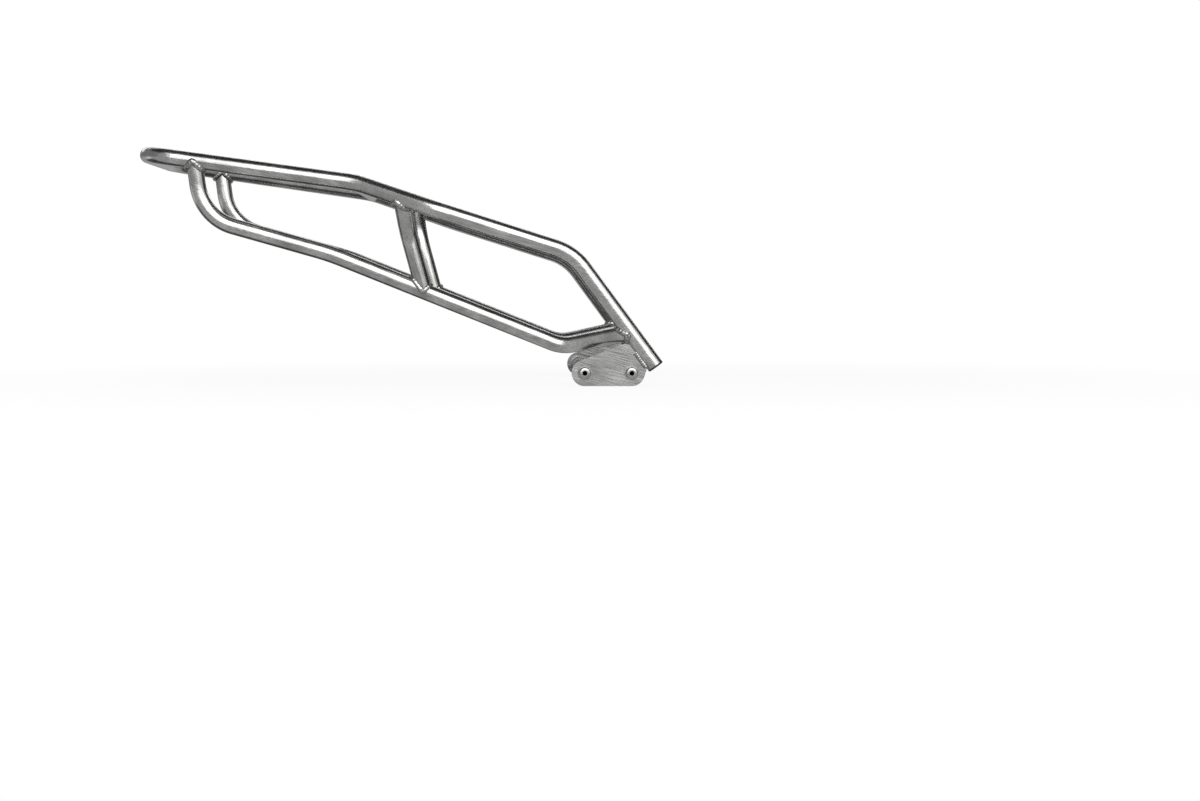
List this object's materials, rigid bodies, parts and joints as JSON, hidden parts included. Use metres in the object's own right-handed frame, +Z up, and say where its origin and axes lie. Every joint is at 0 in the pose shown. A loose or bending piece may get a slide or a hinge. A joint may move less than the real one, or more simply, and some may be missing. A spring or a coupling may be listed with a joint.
{
  "type": "top case rack",
  "caption": "Welded rack of bent stainless tube that carries a top case behind the seat, with bolted foot plates.",
  "frame": {"origin": "midway between the two front foot screws, on their common axis", "axes": "+X to the front of the vehicle, +Y to its left, +Z up"},
  "size_m": [0.574, 0.398, 0.2612],
  "materials": {
    "stainless_tube": "brushed, then electropolished",
    "stainless_fastener": "plain turned stainless steel",
    "cap_plastic": "moulded black plastic"
  },
  "bodies": {
    "root": {"main_hoop": "stainless_tube", "front_cross_tube": "stainless_tube", "left_lower_stay": "stainless_tube", "right_lower_stay": "stainless_tube", "left_upright": "stainless_tube", "right_upright": "stainless_tube", "left_foot_plate": "stainless_tube", "right_foot_plate": "stainless_tube", "left_leg_cap": "cap_plastic", "right_leg_cap": "cap_plastic", "left_front_spacer": "stainless_fastener", "left_rear_spacer": "stainless_fastener", "right_front_spacer": "stainless_fastener", "right_rear_spacer": "stainless_fastener", "left_front_washer": "stainless_fastener", "left_rear_washer": "stainless_fastener", "right_front_washer": "stainless_fastener", "right_rear_washer": "stainless_fastener", "left_front_screw": "stainless_fastener", "left_rear_screw": "stainless_fastener", "right_front_screw": "stainless_fastener", "right_rear_screw": "stainless_fastener"}
  },
  "joints": []
}
